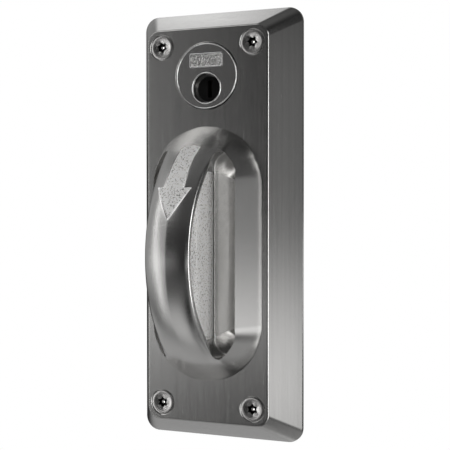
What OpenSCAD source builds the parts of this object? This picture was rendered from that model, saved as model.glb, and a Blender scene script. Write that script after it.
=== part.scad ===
// Push-down crescent handle trim for a mortise lock: cover, handle, slide, hub and key cylinder.
// Front faces -Y, the door face is the plane y = 0, +Z is up, origin at the middle of the door face.

/* [Escutcheon] */
// Width of the flat front face
face_w = 65.6; // [64:0.1:80]
// Height of the flat front face
face_h = 197.7; // [194:0.1:230]
// Depth from the door to the front face
depth = 22.3; // [21.5:0.1:28]
// How far the bevel runs outwards on each side
bevel_run = 11.05; // [8:0.05:14]
// Corner radius of the front face
face_corner_r = 6.5; // [4:0.5:9]
// Corner radius at the door
base_corner_r = 7.5; // [5:0.5:10]
// Thickness of the front wall
face_t = 3.0; // [2.6:0.1:3.6]
// Width of the bevelled wall where it meets the door
wall_t = 2.8; // [2:0.1:4]
// Height of the upright rim at the door
rim_h = 2.0; // [1:0.1:2.4]

/* [Corner screws] */
// Inset of the screws from the sides of the front face
screw_inset_x = 8.3; // [8:0.1:10]
// Inset of the screws from the ends of the front face
screw_inset_z = 8.6; // [8:0.1:10]
// Shank radius
screw_r = 3.0; // [2.5:0.1:3.5]
// Radius of the flat head
screw_head_r = 6.2; // [5.6:0.1:6.6]
// Height of the countersunk head
screw_head_h = 3.2; // [2.6:0.1:3.6]
// Length of the screws behind the door face
screw_tail = 30; // [15:1:40]

/* [Key cylinder] */
// Height of the cylinder's centre above the middle of the plate
cyl_z = 74.8; // [72:0.1:76]
// Radius of the visible head
head_r = 16.4; // [15.9:0.1:17]
// Radius of the threaded body
body_r = 14.68; // [14:0.02:15]
// Length of the body behind the door face
body_tail = 12.5; // [8:0.5:25]
// Radius of the plug
plug_r = 6.35; // [6:0.05:6.5]
// Distance from the cylinder's centre down to the plug's axis
plug_drop = 6.05; // [5.8:0.05:6.3]
// Radius of the recess in front of the plug
recess_r = 7.3; // [7:0.1:7.8]
// Depth of the recess
recess_d = 4.3; // [3.6:0.1:5]
// Width of the tablet
tablet_w = 18; // [14:0.5:20]
// Height of the tablet
tablet_h = 7.2; // [5:0.1:7.6]
// Number of pin stacks
pin_count = 5; // [4:1:5]
// Radius of the pins
pin_r = 1.4; // [1.2:0.05:1.5]

/* [Handle] */
// Height of the handle's centre above the middle of the plate
handle_z = -14.1; // [-16:0.1:-13]
// Half width of the boss where it stands on the face
boss_half_w = 29.5; // [28.5:0.1:31]
// Half length of the boss where it stands on the face
boss_half_l = 63.7; // [62:0.1:66]
// Height of the boss
boss_h = 15.7; // [14:0.1:17]
// How far the flanks of the boss lean in over its height
boss_lean = 7.8; // [6:0.1:8]
// Width of the lip round the finger pockets
lip_t = 0.8; // [0.6:0.1:1.5]
// Height of the pocket floor above the face
floor_h = 2.8; // [2:0.1:4]
// Height of the grip's crest above the face
crest_h = 47.5; // [45:0.5:50]
// Radius of the crest seen from the side
arch_r = 62; // [60:0.5:64]
// Half width of the grip
grip_half_w = 11.6; // [10.5:0.1:12.5]
// How far the crest stands above the grip's edges
crown_h = 2.8; // [1.5:0.1:4]
// Thickness of the grip at its edges
grip_edge_t = 4.0; // [3:0.1:6]
// Half thickness of the web
web_half_t = 5.0; // [4:0.1:6]
// Distance from the handle's centre to the end of a finger pocket
pocket_top_s = 49.6; // [48:0.1:51]

/* [Slide] */
// Travel of the handle
travel = 12; // [8:0.5:12]
// Distance of the posts from the handle's centre
post_s = 38; // [36:0.5:39]
// Width of a post
post_w = 14; // [12:0.5:16]
// Height of a post
post_h = 18; // [16:0.5:18]
// Half width of the carriage
carriage_half_w = 24; // [23:0.5:25]
// Half length of the carriage
carriage_half_l = 52; // [50:0.5:54]
// Thickness of the carriage
carriage_t = 3.0; // [2.5:0.1:3.2]
// Radius of the springs to the middle of the wire
spring_r = 4.0; // [3.6:0.1:4.2]
// Thickness of the spring wire
spring_wire = 1.1; // [0.8:0.1:1.2]
// Number of turns of each spring
spring_turns = 8; // [6:1:9]
// Length of the springs at rest
spring_l = 26.5; // [25:0.5:28]
// Distance of the springs from the middle
spring_x = 9; // [8.5:0.5:9.5]
// Radius of the rods in the springs
rod_r = 2.4; // [2:0.1:2.6]

/* [Hub] */
// Distance from the cylinder's centre down to the spindle
spindle_drop = 61.9; // [60:0.1:63]
// Tooth module of rack and hub
tooth_module = 1.5; // [1.4:0.05:1.5]
// Teeth round the hub
teeth = 16; // [16:1:17]
// Length of the hub's shoulder between its teeth and the bush
shoulder_l = 3.6; // [3.4:0.1:4.2]
// Radius of the hub's journal
journal_r = 8; // [7.5:0.1:8.5]
// Side of the square spindle
spindle_side = 7.94; // [7:0.02:8]
// Length of the spindle behind the door face
spindle_tail = 42; // [20:1:60]
// Thickness of the back plate
plate_t = 3; // [2.5:0.1:3.4]

/* [Clearances] */
// Running clearance round shafts, on the radius
run_gap = 0.05; // [0.02:0.01:0.1]
// Gap between sliding faces
slide_gap = 0.2; // [0.1:0.05:0.3]
// Gap round parts that are bolted in place
seat_gap = 0.3; // [0.1:0.05:0.5]
// Thinning of each tooth flank
backlash = 0.06; // [0.05:0.01:0.1]

/* [Hidden] */
$fn = 80;

// Planes and overlaps
cut = 1;
skin = 0.01;
inner_y = -(depth - face_t);
plate_y = -plate_t;
base_w = face_w + 2 * bevel_run;
base_h = face_h + 2 * bevel_run;

// Corner screws
screw_x = face_w / 2 - screw_inset_x;
screw_z = face_h / 2 - screw_inset_z;
spacer_r = screw_r + 3.4;
screw_neck_r = screw_r - 0.3;
socket_r = 2.1;
socket_d = 2;
socket_pin_r = 0.85;
lobe_r = 0.75;

// Handle, drawn about its own centre: h is the height above the face, s runs along the handle
handle_y = -depth - slide_gap;
boss_end_s = boss_half_l - boss_half_w;
boss_top_w = boss_half_w - boss_lean;
pocket_out = boss_top_w - lip_t;
pocket_r = (pocket_out - web_half_t) / 2;
pocket_mid = web_half_t + pocket_r;
pocket_step = 0.2;
pocket_end_s = pocket_top_s - pocket_r;
trough_r = boss_h - floor_h;
axis_h = crest_h - arch_r;
edge_rho = arch_r - crown_h;
neck_rho = edge_rho - grip_edge_t - 2;
crown_steps = 10;
dome_steps = 7;
dome_sink = 0.3;
arrow_d = 0.4;
arrow_tip_s = 18.3;
arrow_wing_s = 32.7;
arrow_tail_s = 53.4;
arrow_wing_w = 8.4;
arrow_shaft_w = 4.5;

// Slide
post_z = [handle_z - post_s, handle_z + post_s];
post_screw_r = 2.5;
post_screw_head_r = 4.4;
post_screw_head_h = 2.2;
post_screw_l = 12;
carriage_front = inner_y + slide_gap;
carriage_back = carriage_front + carriage_t;
carriage_top = handle_z + carriage_half_l;
carriage_bottom = handle_z - carriage_half_l;
pad_t = 1;
pad_w = 4;
pad_x = boss_top_w;
guide_gap_x = carriage_half_w + slide_gap;
guide_wall = 3.8;
guide_out_x = guide_gap_x + guide_wall;
guide_lip_x = carriage_half_w - 2.2;
guide_lip_y = carriage_back + slide_gap;
guide_lip_t = 1.6;
guide_half_l = carriage_half_l + travel / 2;
guide_z = handle_z - travel / 2;
guide_screw_r = 1.25;
guide_screw_head_r = 2.1;
guide_screw_head_h = 1.4;
guide_screw_bite = 2;
guide_screw_x = guide_gap_x + guide_screw_head_r - 0.6;
guide_screw_z = [for (k = [-1:1]) guide_z + k * (guide_half_l - 8)];
flange_t = 3;
spring_y = carriage_back + spring_r + spring_wire / 2 - 1.2;
flange_half_w = spring_x + spring_r + 2;
flange_y = spring_y + spring_r + 0.6;
seat_z = carriage_bottom - spring_l;
bracket_t = 3;
leg_t = 2;
bracket_screw_r = 1.5;
bracket_screw_head_r = 2.6;
bracket_screw_head_h = 1.8;
bracket_screw_z = [seat_z + 5, seat_z + 13];
leg_top = seat_z + 18;
rod_top = carriage_bottom + flange_t + 4;
tab_z = carriage_top + 6;
tab_t = 3;
bumper_r = 2.6;
bumper_x = 8;
bumper_y = carriage_front + bumper_r;
stem_r = 1.5;

// Hub
spindle_z = cyl_z - spindle_drop;
pitch_r = tooth_module * teeth / 2;
pressure = 20;
base_r = pitch_r * cos(pressure);
tip_r = pitch_r + 0.9 * tooth_module;
root_r = pitch_r - 1.25 * tooth_module;
tooth_steps = 6;
gear_front = carriage_back + 0.5;
bush_flange_t = 2;
bush_front = plate_y - bush_flange_t;
gear_back = bush_front - shoulder_l;
rack_pitch = PI * tooth_module;
rack_tip = 0.85 * tooth_module;
rack_root = 1.25 * tooth_module;
rack_back_x = pitch_r + rack_root + 5.2;
rack_low = -2;
rack_high = ceil(travel / rack_pitch) + 1;
rack_screw_r = 1.5;
rack_screw_head_r = 2.7;
rack_screw_head_h = 1.4;
rack_screw_x = rack_back_x - 2.6;
rack_screw_z = [spindle_z - rack_pitch, spindle_z + rack_high * rack_pitch - rack_pitch];
bush_r = journal_r + 2.6;
bush_flange_r = journal_r + 5;
shoulder_r = root_r - 0.2;
groove_y = 0.5;
groove_d = 0.8;
ring_t = 0.9;
journal_end = groove_y + ring_t + 1;
spindle_front = gear_front + 0.4;
cross_pin_r = 1.2;
cross_pin_y = bush_front - shoulder_l / 2;

// Cylinder
plug_z = cyl_z - plug_drop;
head_front = -depth - 0.15;
plug_front = head_front + recess_d;
rim_chamfer = 0.5;
pin_y = [for (k = [0:pin_count - 1]) inner_y + 7 + 4 * k];
pin_hole_r = pin_r + 0.1;
pin_hole_low = plug_z - 2.5;
shear_gap = 0.15;
shear_z = plug_z + plug_r;
driver_l = 5;
cover_w = 6;
cover_t = 1.5;
cover_z = cyl_z + body_r - cover_t - 0.9;
keyway_w = 2.2;
keyway_h = 8.6;
relief_w = 1;
relief_d = 0.4;
cam_t = 2.4;
cam_r = plug_r + 2;
cam_reach = 15;
cam_y = body_tail + slide_gap;
cam_screw_x = plug_r - 2.6;
cam_screw_r = 0.9;
cam_screw_head_r = 1.5;
collar_r = head_r + 3.4;
collar_t = 3;
nut_t = 3.4;
nut_r = body_r + 3.6;
nut_y = inner_y + collar_t;
tablet_t = 0.5;
tablet_rim = 0.8;
tablet_sink = 0.25;
tablet_z = cyl_z + 7.8;

// Cylinder and cone along y, from y0 to y1
module rod_y(x, z, y0, y1, r) {
    translate([x, y0, z]) rotate([-90, 0, 0]) cylinder(h = y1 - y0, r = r);
}
module cone_y(x, z, y0, y1, r0, r1) {
    translate([x, y0, z]) rotate([-90, 0, 0]) cylinder(h = y1 - y0, r1 = r0, r2 = r1);
}

// Outline drawn in x and z, made solid from y0 to y1
module solid_y(y0, y1) {
    translate([0, y1, 0]) rotate([90, 0, 0]) linear_extrude(y1 - y0) children();
}

// Block between two corners
module block(low, high) {
    translate(low) cube(high - low);
}

module rounded_rect(w, h, r) {
    for (x = [-1, 1], z = [-1, 1]) translate([x * (w / 2 - r), z * (h / 2 - r)]) circle(r = r);
    square([w - 2 * r, h], center = true);
    square([w, h - 2 * r], center = true);
}

module at_corners() {
    for (x = [-1, 1], z = [-1, 1]) translate([x * screw_x, 0, z * screw_z]) children();
}

// How far the bevel has run inwards at a distance from the door
function bevel_lean(y) = bevel_run * (-y - rim_h) / (depth - rim_h);

// Cover's outer form for inset 0, and its hollow for the wall's width
module bevelled(inset, front_y, corner_r) {
    lean = bevel_lean(front_y);
    hull() {
        solid_y(-rim_h, 0)
            rounded_rect(base_w - 2 * inset, base_h - 2 * inset, base_corner_r - inset / 2);
        solid_y(front_y, front_y + skin)
            rounded_rect(base_w - 2 * (inset + lean), base_h - 2 * (inset + lean), corner_r);
    }
}

module escutcheon() color("silver") difference() {
    bevelled(0, -depth, face_corner_r);
    bevelled(wall_t, inner_y, face_corner_r - wall_t / 2);
    solid_y(-2 * skin, cut)
        rounded_rect(base_w - 2 * wall_t, base_h - 2 * wall_t, base_corner_r - wall_t / 2);
    at_corners() {
        rod_y(0, 0, -depth - cut, inner_y + cut, screw_r + run_gap);
        cone_y(0, 0, -depth - skin, -depth + screw_head_h, screw_head_r + seat_gap, screw_r + run_gap);
    }
    for (z = post_z)
        block([-post_w / 2 - slide_gap, -depth - cut, z - post_h / 2 - travel - slide_gap],
              [post_w / 2 + slide_gap, inner_y + cut, z + post_h / 2 + slide_gap]);
    rod_y(0, cyl_z, -depth - cut, inner_y + cut, head_r + seat_gap);
    for (x = [-1, 1], z = guide_screw_z)
        rod_y(x * guide_screw_x, z, inner_y - guide_screw_bite, inner_y + cut, guide_screw_r + run_gap);
}

module back_plate() color("lightgray") difference() {
    inset = wall_t + bevel_lean(plate_y) + seat_gap;
    union() {
        solid_y(plate_y, 0)
            rounded_rect(base_w - 2 * inset, base_h - 2 * inset, base_corner_r - wall_t / 2);
        block([-bumper_x - 6, carriage_front, tab_z], [bumper_x + 6, plate_y + skin, tab_z + tab_t]);
    }
    at_corners() rod_y(0, 0, plate_y - cut, cut, screw_r + run_gap);
    rod_y(0, cyl_z, plate_y - cut, cut, body_r + seat_gap);
    rod_y(0, spindle_z, plate_y - cut, cut, bush_r + run_gap);
    for (z = bracket_screw_z) rod_y(0, z, plate_y - cut, cut, bracket_screw_r + run_gap);
    for (x = [-1, 1]) translate([x * bumper_x, bumper_y, tab_z - cut])
        cylinder(h = tab_t + 2 * cut, r = stem_r + run_gap);
}

module corner_screws() color("gainsboro") at_corners() difference() {
    union() {
        cone_y(0, 0, -depth, -depth + screw_head_h, screw_head_r, screw_r);
        rod_y(0, 0, -depth + screw_head_h - skin, skin, screw_neck_r);
        rod_y(0, 0, 0, screw_tail, screw_r);
    }
    difference() {
        union() {
            rod_y(0, 0, -depth - cut, -depth + socket_d, socket_r);
            for (a = [0:60:300]) rotate([0, a, 0])
                rod_y(socket_r, 0, -depth - cut, -depth + socket_d, lobe_r);
        }
        rod_y(0, 0, -depth, -depth + socket_d + cut, socket_pin_r);
    }
}

module corner_spacers() color("dimgray") at_corners() difference() {
    rod_y(0, 0, inner_y, plate_y, spacer_r);
    rod_y(0, 0, inner_y - cut, plate_y + cut, screw_r + run_gap);
}

// Low boss with leaning flanks and round ends
module boss() {
    translate([0, 0, -boss_end_s]) linear_extrude(2 * boss_end_s)
        polygon([[-boss_half_w, 0], [boss_half_w, 0], [boss_top_w, -boss_h], [-boss_top_w, -boss_h]]);
    for (s = [-1, 1]) translate([0, 0, s * boss_end_s])
        rotate([90, 0, 0]) cylinder(h = boss_h, r1 = boss_half_w, r2 = boss_top_w);
}

// Dome over each end of the boss, turned about the boss end's centre to follow the crest
function crest(s) = sqrt(arch_r * arch_r - s * s) + axis_h;
module dome() difference() {
    rotate([90, 0, 0]) rotate_extrude()
        polygon([[0, boss_h - skin], [boss_top_w, boss_h - skin],
                 for (i = [dome_steps:-1:0]) let (r = boss_top_w * i / dome_steps)
                     [r, max(boss_h, crest(boss_end_s + r) - dome_sink)]]);
    block([-boss_half_w, -crest_h, -boss_half_w], [boss_half_w, 0, 0]);
}

// Finger pocket on the +x side: flat floor at the web, then an arc up to the lip.
// Above the boss it is a little narrower, so that no sliver is left where the arc ends.
module pocket() {
    translate([0, 0, -pocket_end_s]) linear_extrude(2 * pocket_end_s) {
        intersection() {
            translate([pocket_out - trough_r, -boss_h]) circle(r = trough_r);
            translate([web_half_t, -boss_h]) square([2 * pocket_r, trough_r]);
        }
        translate([web_half_t, -boss_h]) square([pocket_out - trough_r - web_half_t, trough_r]);
        translate([web_half_t + pocket_step, -crest_h])
            square([2 * (pocket_r - pocket_step), crest_h - boss_h + skin]);
    }
    for (s = [-1, 1]) translate([pocket_mid, 0, s * pocket_end_s]) rotate([90, 0, 0]) rotate_extrude() {
        intersection() {
            translate([pocket_r - trough_r, boss_h]) circle(r = trough_r);
            square([pocket_r, boss_h]);
        }
        translate([0, boss_h - skin]) square([pocket_r - pocket_step, crest_h - boss_h]);
    }
}

// The pockets stay inside this outline, so that the lip has its width round the ends
module pocket_limit() {
    block([-boss_half_w, -crest_h - cut, -boss_end_s], [boss_half_w, cut, boss_end_s]);
    for (s = [-1, 1]) rod_y(0, s * boss_end_s, -crest_h - cut, cut, pocket_out - pocket_step);
}

// Arched grip and web, turned about a cross axis below the face, drop below the finished surface
module arch(drop) intersection() {
    translate([0, -axis_h, 0]) rotate([0, 90, 0]) {
        rotate_extrude($fn = 128) polygon([
            for (i = [0:crown_steps]) let (a = 180 * i / crown_steps)
                [edge_rho + crown_h * sin(a) - drop, grip_half_w * cos(a)],
            [edge_rho - grip_edge_t / 2, -grip_half_w + 0.6],
            [edge_rho - grip_edge_t, -grip_half_w + 2.6],
            [neck_rho, -web_half_t],
            [neck_rho, web_half_t],
            [edge_rho - grip_edge_t, grip_half_w - 2.6],
            [edge_rho - grip_edge_t / 2, grip_half_w - 0.6]]);
        cylinder(h = 2 * web_half_t, r = neck_rho + skin, center = true, $fn = 128);
    }
    block([-boss_half_w, -crest_h - 5, -boss_half_l], [boss_half_w, -skin, boss_half_l]);
}

// Down arrow in x and s
module arrow() polygon([[0, arrow_tip_s], [arrow_wing_w, arrow_wing_s], [arrow_shaft_w, arrow_wing_s],
    [arrow_shaft_w, arrow_tail_s - 1], [0, arrow_tail_s], [-arrow_shaft_w, arrow_tail_s - 1],
    [-arrow_shaft_w, arrow_wing_s], [-arrow_wing_w, arrow_wing_s]]);

module crescent_handle() color("silver") translate([0, handle_y, handle_z]) difference() {
    union() {
        difference() {
            union() {
                boss();
                translate([0, 0, boss_end_s]) dome();
                mirror([0, 0, 1]) translate([0, 0, boss_end_s]) dome();
            }
            intersection() {
                union() {
                    pocket();
                    mirror([1, 0, 0]) pocket();
                }
                pocket_limit();
            }
        }
        arch(0);
        for (s = [-1, 1])
            block([-post_w / 2, -skin, s * post_s - post_h / 2],
                  [post_w / 2, carriage_front - handle_y, s * post_s + post_h / 2]);
    }
    difference() {
        solid_y(-crest_h - cut, -boss_h) arrow();
        arch(arrow_d);
    }
    for (x = [-1, 1])
        block([x * pad_x - pad_w / 2, -pad_t, -boss_end_s], [x * pad_x + pad_w / 2, cut, boss_end_s]);
    for (s = [-1, 1], k = [-1, 1])
        rod_y(0, s * post_s + k * post_h / 4, carriage_back - post_screw_l - handle_y - run_gap,
              carriage_front - handle_y + cut, post_screw_r + run_gap);
}

module wear_pads() color("white") for (x = [-1, 1])
    block([x * pad_x - pad_w / 2, handle_y - pad_t, handle_z - boss_end_s],
          [x * pad_x + pad_w / 2, -depth - run_gap, handle_z + boss_end_s]);

module handle_screw_shape(gap) for (z = post_z, k = [-1, 1]) {
    screw_at = z + k * post_h / 4;
    rod_y(0, screw_at, carriage_back - post_screw_l, carriage_back - post_screw_head_h + skin,
          post_screw_r + gap);
    cone_y(0, screw_at, carriage_back - post_screw_head_h, carriage_back + skin * gap,
           post_screw_r + gap, post_screw_head_r + gap);
}

module rack_screw_shape(gap) for (z = rack_screw_z) {
    cone_y(rack_screw_x, z, carriage_front - skin * gap, carriage_front + rack_screw_head_h,
           rack_screw_head_r + gap, rack_screw_r + gap);
    rod_y(rack_screw_x, z, carriage_front + rack_screw_head_h - skin, gear_back - 1 + gap,
          rack_screw_r + gap);
}

module handle_carriage() color("gray") difference() {
    union() {
        block([-carriage_half_w, carriage_front, carriage_bottom],
              [carriage_half_w, carriage_back, carriage_top]);
        block([-flange_half_w, carriage_front, carriage_bottom],
              [flange_half_w, flange_y, carriage_bottom + flange_t]);
    }
    handle_screw_shape(run_gap);
    rack_screw_shape(run_gap);
    for (x = [-1, 1]) translate([x * spring_x, spring_y, carriage_bottom - cut])
        cylinder(h = flange_t + 2 * cut, r = rod_r + slide_gap);
}

module handle_screws() color("dimgray") handle_screw_shape(0);

module carriage_guides() color("darkgray") for (x = [0, 1]) mirror([x, 0, 0]) difference() {
    union() {
        block([guide_gap_x, inner_y, guide_z - guide_half_l],
              [guide_out_x, guide_lip_y + guide_lip_t, guide_z + guide_half_l]);
        block([guide_lip_x, guide_lip_y, guide_z - guide_half_l],
              [guide_gap_x + skin, guide_lip_y + guide_lip_t, guide_z + guide_half_l]);
    }
    for (z = guide_screw_z) rod_y(guide_screw_x, z, inner_y - cut, plate_y, guide_screw_r + run_gap);
}

module guide_screws() color("dimgray") for (x = [-1, 1], z = guide_screw_z) {
    back = guide_lip_y + guide_lip_t;
    rod_y(x * guide_screw_x, z, inner_y - guide_screw_bite, back + skin, guide_screw_r);
    rod_y(x * guide_screw_x, z, back, back + guide_screw_head_h, guide_screw_head_r);
}

// Straight teeth towards the hub, one centred at the spindle's height
module carriage_rack() color("goldenrod") difference() {
    half = rack_pitch / 4 - backlash;
    lean_tip = rack_tip * tan(pressure);
    lean_root = rack_root * tan(pressure);
    solid_y(carriage_back, gear_back + 0.3) polygon([
        [rack_back_x, spindle_z + (rack_low - 0.5) * rack_pitch - 1],
        [rack_back_x, spindle_z + (rack_high + 0.5) * rack_pitch + 1],
        [pitch_r + rack_root, spindle_z + (rack_high + 0.5) * rack_pitch + 1],
        for (k = [rack_high:-1:rack_low]) let (z = spindle_z + k * rack_pitch)
            each [[pitch_r + rack_root, z + half + lean_root], [pitch_r - rack_tip, z + half - lean_tip],
                  [pitch_r - rack_tip, z - half + lean_tip], [pitch_r + rack_root, z - half - lean_root]],
        [pitch_r + rack_root, spindle_z + (rack_low - 0.5) * rack_pitch - 1]]);
    rack_screw_shape(run_gap);
}

module rack_screws() color("dimgray") rack_screw_shape(0);

module stop_bumpers() color("black") for (x = [-1, 1]) translate([x * bumper_x, bumper_y, 0]) {
    translate([0, 0, carriage_top + run_gap]) cylinder(h = tab_z - carriage_top - run_gap, r = bumper_r);
    translate([0, 0, tab_z - skin]) cylinder(h = tab_t + 1, r = stem_r);
}

module spring_bracket() color("gray") difference() {
    union() {
        block([-flange_half_w, carriage_front, seat_z - bracket_t], [flange_half_w, plate_y, seat_z]);
        block([-flange_half_w, plate_y - leg_t, seat_z - skin], [flange_half_w, plate_y, leg_top]);
    }
    for (x = [-1, 1]) translate([x * spring_x, spring_y, seat_z - bracket_t - cut])
        cylinder(h = bracket_t + 2 * cut, r = rod_r + run_gap);
    for (z = bracket_screw_z) rod_y(0, z, plate_y - leg_t - cut, 0, bracket_screw_r + run_gap);
}

module bracket_screws() color("dimgray") for (z = bracket_screw_z) {
    rod_y(0, z, plate_y - leg_t - skin, -skin, bracket_screw_r);
    rod_y(0, z, plate_y - leg_t - bracket_screw_head_h, plate_y - leg_t, bracket_screw_head_r);
}

module spring_rods() color("lightgray") for (x = [-1, 1])
    translate([x * spring_x, spring_y, seat_z - bracket_t])
        cylinder(h = rod_top - seat_z + bracket_t, r = rod_r);

// Coil with six-sided wire, eight rings to a turn, closed to a plane at both ends by the wire's radius
coil_sides = 6;
coil_rings = 8;
function coil_point(t, k) = let (turn = 360 * t, w = 360 * k / coil_sides, r = spring_wire / 2)
    [(spring_r + r * cos(w)) * cos(turn), (spring_r + r * cos(w)) * sin(turn),
     r + (spring_l - 2 * r) * t / spring_turns + r * sin(w)];
module coil() {
    n = spring_turns * coil_rings;
    polyhedron(
        points = [for (i = [0:n], k = [0:coil_sides - 1]) coil_point(i / coil_rings, k)],
        faces = [[for (k = [0:coil_sides - 1]) k],
            for (i = [0:n - 1], k = [0:coil_sides - 1])
                let (a = i * coil_sides + k, b = i * coil_sides + (k + 1) % coil_sides)
                each [[a, a + coil_sides, b], [b, a + coil_sides, b + coil_sides]],
            [for (k = [coil_sides - 1:-1:0]) n * coil_sides + k]]);
}

module return_springs() color("silver") for (x = [-1, 1])
    translate([x * spring_x, spring_y, seat_z]) coil();

// Involute teeth of the hub, with a gap towards the rack
function involute(a) = tan(a) * 180 / PI - a;
function half_tooth(r) = 90 / teeth - backlash / pitch_r * 180 / PI + involute(pressure)
    - involute(acos(min(1, base_r / r)));
function polar(r, a) = [r * cos(a), r * sin(a)];
function flank_r() = [root_r, for (i = [0:tooth_steps]) base_r + (tip_r - base_r) * i / tooth_steps];
function tooth(mid) = let (rs = flank_r(), last = len(rs) - 1) [
    for (k = [0:last]) polar(rs[k], mid - half_tooth(max(base_r, rs[k]))),
    for (k = [last:-1:0]) polar(rs[k], mid + half_tooth(max(base_r, rs[k])))];

module pinion_hub() color("goldenrod") difference() {
    translate([0, 0, spindle_z]) union() {
        solid_y(gear_front, gear_back)
            polygon([for (i = [0:teeth - 1]) each tooth((i + 0.5) * 360 / teeth)]);
        rod_y(0, 0, gear_back - skin, bush_front - run_gap, shoulder_r);
        rod_y(0, 0, bush_front - run_gap - skin, journal_end, journal_r);
    }
    difference() {
        rod_y(0, spindle_z, groove_y, groove_y + ring_t, journal_r + cut);
        rod_y(0, spindle_z, groove_y - cut, groove_y + ring_t + cut, journal_r - groove_d);
    }
    spindle_bar(gear_front - cut, journal_end + cut, run_gap);
    cross_pin(run_gap);
}

module spindle_bar(y0, y1, gap) {
    half = spindle_side / 2 + gap;
    block([-half, y0, spindle_z - half], [half, y1, spindle_z + half]);
}

module cross_pin(gap) translate([-shoulder_r + 0.3 - gap, cross_pin_y, spindle_z])
    rotate([0, 90, 0]) cylinder(h = 2 * (shoulder_r - 0.3 + gap), r = cross_pin_r + gap);

module hub_bush() color("peru") difference() {
    union() {
        rod_y(0, spindle_z, bush_front, plate_y, bush_flange_r);
        rod_y(0, spindle_z, plate_y - skin, 0, bush_r);
    }
    rod_y(0, spindle_z, bush_front - cut, cut, journal_r + run_gap);
}

module hub_retaining_ring() color("dimgray") difference() {
    rod_y(0, spindle_z, groove_y + run_gap, groove_y + ring_t - run_gap, journal_r + 2);
    rod_y(0, spindle_z, 0, groove_y + ring_t + cut, journal_r - groove_d + run_gap);
    block([-1.5, 0, spindle_z - journal_r - 3], [1.5, journal_end, spindle_z]);
}

module spindle() color("silver") difference() {
    spindle_bar(spindle_front, spindle_tail, 0);
    cross_pin(run_gap);
}

module spindle_pin() color("dimgray") cross_pin(0);

// Chambers of the pins, from low to high
module pin_stacks(low, high, r) for (y = pin_y) translate([0, y, low]) cylinder(h = high - low, r = r);

module cylinder_shell() color("gray") difference() {
    union() {
        cone_y(0, cyl_z, head_front, head_front + rim_chamfer, head_r - rim_chamfer, head_r);
        rod_y(0, cyl_z, head_front + rim_chamfer - skin, inner_y, head_r);
        rod_y(0, cyl_z, inner_y - skin, body_tail, body_r);
    }
    cone_y(0, plug_z, head_front - skin, head_front + rim_chamfer, recess_r + rim_chamfer, recess_r);
    rod_y(0, plug_z, head_front - cut, plug_front, recess_r);
    rod_y(0, plug_z, plug_front - cut, body_tail + cut, plug_r + run_gap);
    difference() {
        rod_y(0, cyl_z, -relief_w, 0, body_r + cut);
        rod_y(0, cyl_z, -relief_w - cut, cut, body_r - relief_d);
    }
    pin_stacks(plug_z, cover_z + skin, pin_hole_r);
    block([-cover_w / 2 - run_gap, pin_y[0] - 3 - run_gap, cover_z],
          [cover_w / 2 + run_gap, pin_y[pin_count - 1] + 3 + run_gap, cyl_z + head_r]);
}

module cylinder_collar() color("lightgray") difference() {
    rod_y(0, cyl_z, inner_y, nut_y, collar_r);
    rod_y(0, cyl_z, inner_y - cut, nut_y + cut, body_r + seat_gap);
}

module cylinder_ring_nut() color("goldenrod") difference() {
    rod_y(0, cyl_z, nut_y, nut_y + nut_t, nut_r);
    rod_y(0, cyl_z, nut_y - cut, nut_y + nut_t + cut, body_r + run_gap);
    for (a = [0:90:270]) translate([0, 0, cyl_z]) rotate([0, a, 0])
        block([-1.5, nut_y - cut, nut_r - 1.6], [1.5, nut_y + nut_t + cut, nut_r + cut]);
}

module cylinder_tablet() color("darkgray") translate([0, 0, tablet_z]) difference() {
    solid_y(head_front - tablet_t, head_front) rounded_rect(tablet_w, tablet_h, 1);
    solid_y(head_front - tablet_t - cut, head_front - tablet_t + tablet_sink)
        rounded_rect(tablet_w - 2 * tablet_rim, tablet_h - 2 * tablet_rim, 0.4);
}

module cylinder_plug() color("black") difference() {
    rod_y(0, plug_z, plug_front, body_tail, plug_r);
    block([-keyway_w / 2, plug_front - cut, plug_z - keyway_h / 2],
          [keyway_w / 2, body_tail - 3, plug_z + keyway_h / 2]);
    pin_stacks(pin_hole_low, shear_z + cut, pin_hole_r);
    for (x = [-1, 1]) rod_y(x * cam_screw_x, plug_z, body_tail - 4, body_tail + cut, cam_screw_r + run_gap);
}

module key_pins() color("goldenrod") for (k = [0:pin_count - 1]) {
    low = pin_hole_low + 0.5 + 0.6 * (k % 3);
    translate([0, pin_y[k], low]) cylinder(h = 1, r1 = pin_r / 2, r2 = pin_r);
    translate([0, pin_y[k], low + 1 - skin]) cylinder(h = shear_z - shear_gap - low - 1, r = pin_r);
}

module driver_pins() color("goldenrod")
    pin_stacks(shear_z + shear_gap, shear_z + shear_gap + driver_l, pin_r);

module driver_springs() color("silver") difference() {
    pin_stacks(shear_z + shear_gap + driver_l, cover_z, pin_r);
    pin_stacks(shear_z + shear_gap + driver_l - cut, cover_z + cut, pin_r - 0.4);
}

module pin_cover() color("goldenrod")
    block([-cover_w / 2, pin_y[0] - 3, cover_z], [cover_w / 2, pin_y[pin_count - 1] + 3, cover_z + cover_t]);

module cylinder_cam() color("gray") difference() {
    union() {
        rod_y(0, plug_z, cam_y, cam_y + cam_t, cam_r);
        block([-3.2, cam_y, plug_z], [3.2, cam_y + cam_t, plug_z + cam_reach]);
        rod_y(0, plug_z, body_tail, cam_y + skin, plug_r - 0.5);
    }
    for (x = [-1, 1]) rod_y(x * cam_screw_x, plug_z, body_tail - cut, cam_y + cam_t + cut,
                            cam_screw_r + run_gap);
}

module cam_screws() color("dimgray") for (x = [-1, 1]) {
    rod_y(x * cam_screw_x, plug_z, body_tail - 3.5, cam_y + cam_t + skin, cam_screw_r);
    rod_y(x * cam_screw_x, plug_z, cam_y + cam_t, cam_y + cam_t + 1, cam_screw_head_r);
}

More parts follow.
